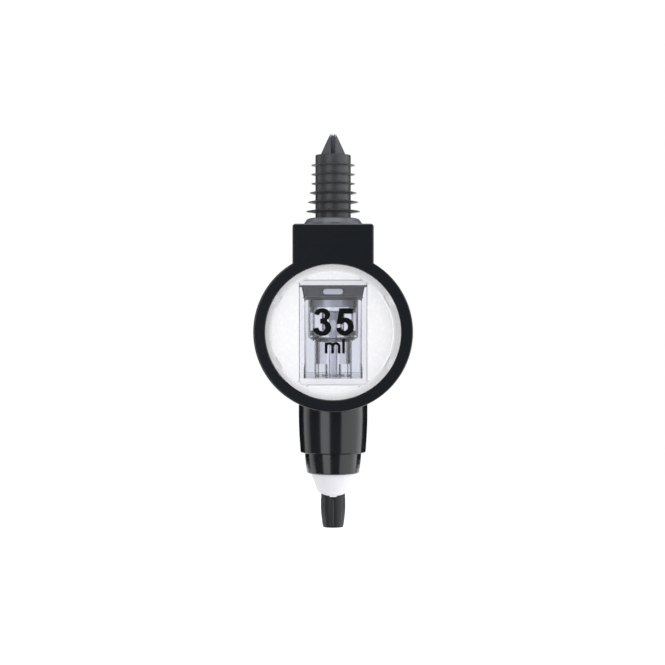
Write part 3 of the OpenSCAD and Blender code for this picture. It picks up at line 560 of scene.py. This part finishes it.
def printed(name, outlines):  # points and faces in a fixed order, the same in each run
    back = printSet["front"] + printSet["sunk"]
    front = printSet["front"] - printSet["thick"]
    places, faces = [], []
    for outline in outlines:
        following = outline[1:] + outline[:1]
        area = sum(x * nextZ - nextX * z for (x, z), (nextX, nextZ) in zip(outline, following))
        rim = outline if area > 0 else outline[::-1]  # anticlockwise as the camera sees it
        first, count = len(places), len(rim)
        places += [fromRing(x, front, z) for x, z in rim] + [fromRing(x, back, z) for x, z in rim]
        faces.append([first + i for i in range(count)])
        faces.append([first + count + i for i in reversed(range(count))])
        for i in range(count):
            j = (i + 1) % count
            faces.append([first + j, first + i, first + count + i, first + count + j])
    mesh = bpy.data.meshes.new(name)
    mesh.from_pydata(places, [], faces)
    mesh.materials.append(printInk)
    piece = bpy.data.objects.new(name, mesh)
    scene.collection.objects.link(piece)
    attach(piece, "housing")
    return piece


def placed(points, sides, foot, top):  # from a unit box onto the lens
    left, right = sides
    return [(left + u * (right - left), foot + v * (top - foot)) for u, v in points]


def digitThree():  # in a unit box, feet at 0
    return (bend(0.5, 0.765, 0.44, 0.235, 176, -53)
            + bend(0.5, 0.29, 0.5, 0.29, 55, -177)
            + bend(0.485, 0.305, 0.185, 0.135, -180, 90)
            + [(0.39, 0.44), (0.39, 0.62)]
            + bend(0.49, 0.735, 0.16, 0.105, -90, 176))


def digitFive():
    return ([(0.2, 1.0), (0.94, 1.0), (0.94, 0.8), (0.43, 0.8), (0.39, 0.635)]
            + bend(0.51, 0.333, 0.49, 0.333, 102, -170)
            + bend(0.49, 0.335, 0.18, 0.15, -172, 144)
            + [(0.05, 0.43)])


def letterM(left, right, foot, top):
    bar = printSet["stem"]
    hump = (right - left - bar) / 2  # stem to stem
    rise = 0.36 * (top - foot)
    base = top - rise
    first = left + bar / 2 + hump / 2
    second = first + hump
    outer = hump / 2 + bar / 2
    inner = hump / 2 - bar / 2
    points = [(left, foot), (left, top - 0.1),
              (left + 0.9 * bar, top - 0.1), (left + 0.9 * bar, top - 0.75)]
    points += bend(first, base, outer, rise, 122, 44, 12)
    points += bend(second, base, outer, rise, 132, 0, 16)
    points += [(right, foot), (right - bar, foot)]
    points += bend(second, base, inner, rise - 0.88 * bar, 0, 180, 12)
    points += [(second - inner, foot), (second - inner - bar, foot)]
    points += bend(first, base, inner, rise - 0.88 * bar, 0, 180, 12)
    points += [(left + bar, foot)]
    return points


top, foot = printSet["top"], printSet["foot"]
printed("printNumber", [placed(digitThree(), printSet["threeSides"], foot, top),
                        placed(digitFive(), printSet["fiveSides"], foot, top)])
top, foot = printSet["unitTop"], printSet["unitFoot"]
left, right = printSet["secondSides"]
printed("printUnit", [letterM(*printSet["firstSides"], foot, printSet["letterTop"]),
                      [(left, foot), (right, foot), (right, top), (left, top)]])
print("capacity printed")


# ribs down the spout

ribSet = {
    "count": 8,
    "top": -78.9,  # mm from the ring's centre, just under the white cone
    "foot": -91.6,
    "taperFrom": -83.28,  # the spout narrows from here to its end
    "end": -92.4,
    "radius": 5.7,
    "tipRadius": 4.75,
    "ribRadius": 0.32,
    "sink": 0.2,  # depth of the rib's centre under the spout's skin
}


def ribTree():
    tree = bpy.data.node_groups.new("spoutRib", "GeometryNodeTree")
    tree.interface.new_socket("Count", in_out="INPUT", socket_type="NodeSocketInt")
    for name in ("Top", "Foot", "Taper from", "End", "Radius", "Tip radius", "Rib radius", "Sink"):
        tree.interface.new_socket(name, in_out="INPUT", socket_type="NodeSocketFloat")
    tree.interface.new_socket("Axis", in_out="INPUT", socket_type="NodeSocketVector")
    tree.interface.new_socket("Finish", in_out="INPUT", socket_type="NodeSocketMaterial")
    tree.interface.new_socket("Geometry", in_out="OUTPUT", socket_type="NodeSocketGeometry")
    given = addNode(tree, "NodeGroupInput").outputs
    start = addNode(tree, "ShaderNodeCombineXYZ", inputs={"Z": given["Top"]})
    finish = addNode(tree, "ShaderNodeCombineXYZ", inputs={"Z": given["Foot"]})
    line = addNode(tree, "GeometryNodeCurvePrimitiveLine", inputs={
        "Start": start.outputs[0], "End": finish.outputs[0]})
    fine = addNode(tree, "GeometryNodeResampleCurve", inputs={"Curve": line.outputs[0], "Count": 26})
    here = addNode(tree, "GeometryNodeInputPosition").outputs[0]
    height = addNode(tree, "ShaderNodeSeparateXYZ", inputs={0: here}).outputs["Z"]
    along = addNode(tree, "ShaderNodeMapRange", inputs={
        "Value": height, "From Min": given["Taper from"], "From Max": given["End"]}).outputs[0]
    curved = addNode(tree, "ShaderNodeMath", {"operation": "POWER"}, {0: along, 1: 1.5}).outputs[0]
    skin = addNode(tree, "ShaderNodeMapRange", inputs={
        "Value": curved, "To Min": given["Radius"], "To Max": given["Tip radius"]}).outputs[0]
    out = addNode(tree, "ShaderNodeMath", {"operation": "SUBTRACT"},
                  {0: skin, 1: given["Sink"]}).outputs[0]
    place = addNode(tree, "ShaderNodeCombineXYZ", inputs={"X": out, "Z": height})
    bent = addNode(tree, "GeometryNodeSetPosition", inputs={
        "Geometry": fine.outputs[0], "Position": place.outputs[0]})
    ring = addNode(tree, "GeometryNodeCurvePrimitiveCircle", inputs={
        "Resolution": 12, "Radius": given["Rib radius"]})
    rib = addNode(tree, "GeometryNodeCurveToMesh", inputs={
        "Curve": bent.outputs[0], "Profile Curve": ring.outputs[0], "Fill Caps": True})
    smooth = addNode(tree, "GeometryNodeSetShadeSmooth", inputs={"Geometry": rib.outputs[0]})
    points = addNode(tree, "GeometryNodePoints", inputs={
        "Count": given["Count"], "Position": given["Axis"]})
    share = addNode(tree, "ShaderNodeMath", {"operation": "DIVIDE"}, {
        0: addNode(tree, "GeometryNodeInputIndex").outputs[0], 1: given["Count"]}).outputs[0]
    angle = addNode(tree, "ShaderNodeMath", {"operation": "MULTIPLY"},
                    {0: share, 1: math.tau}).outputs[0]
    turn = addNode(tree, "ShaderNodeCombineXYZ", inputs={"Z": angle})
    turned = addNode(tree, "FunctionNodeEulerToRotation", inputs={"Euler": turn.outputs[0]})
    copies = addNode(tree, "GeometryNodeInstanceOnPoints", inputs={
        "Points": points.outputs[0], "Instance": smooth.outputs[0], "Rotation": turned.outputs[0]})
    real = addNode(tree, "GeometryNodeRealizeInstances", inputs={"Geometry": copies.outputs[0]})
    dressed = addNode(tree, "GeometryNodeSetMaterial", inputs={
        "Geometry": real.outputs[0], "Material": given["Finish"]})
    addNode(tree, "NodeGroupOutput", inputs={"Geometry": dressed.outputs[0]})
    return tree


ribs = grown("spoutRibs", ribTree(), {
    "Count": ribSet["count"],
    "Top": ribSet["top"] / 1000,
    "Foot": ribSet["foot"] / 1000,
    "Taper from": ribSet["taperFrom"] / 1000,
    "End": ribSet["end"] / 1000,
    "Radius": ribSet["radius"] / 1000,
    "Tip radius": ribSet["tipRadius"] / 1000,
    "Rib radius": ribSet["ribRadius"] / 1000,
    "Sink": ribSet["sink"] / 1000,
    "Axis": fromRing(0, 0, 0),
    "Finish": ribHighlightAbs,
})
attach(ribs, "plunger")
print("spout ribbed:", len(ribs.data.polygons), "faces")


scene.view_settings.view_transform = "Standard"
bounces = 24  # enough to see through lens, chamber and column
scene.cycles.max_bounces = bounces
scene.cycles.transmission_bounces = bounces
scene.cycles.transparent_max_bounces = bounces
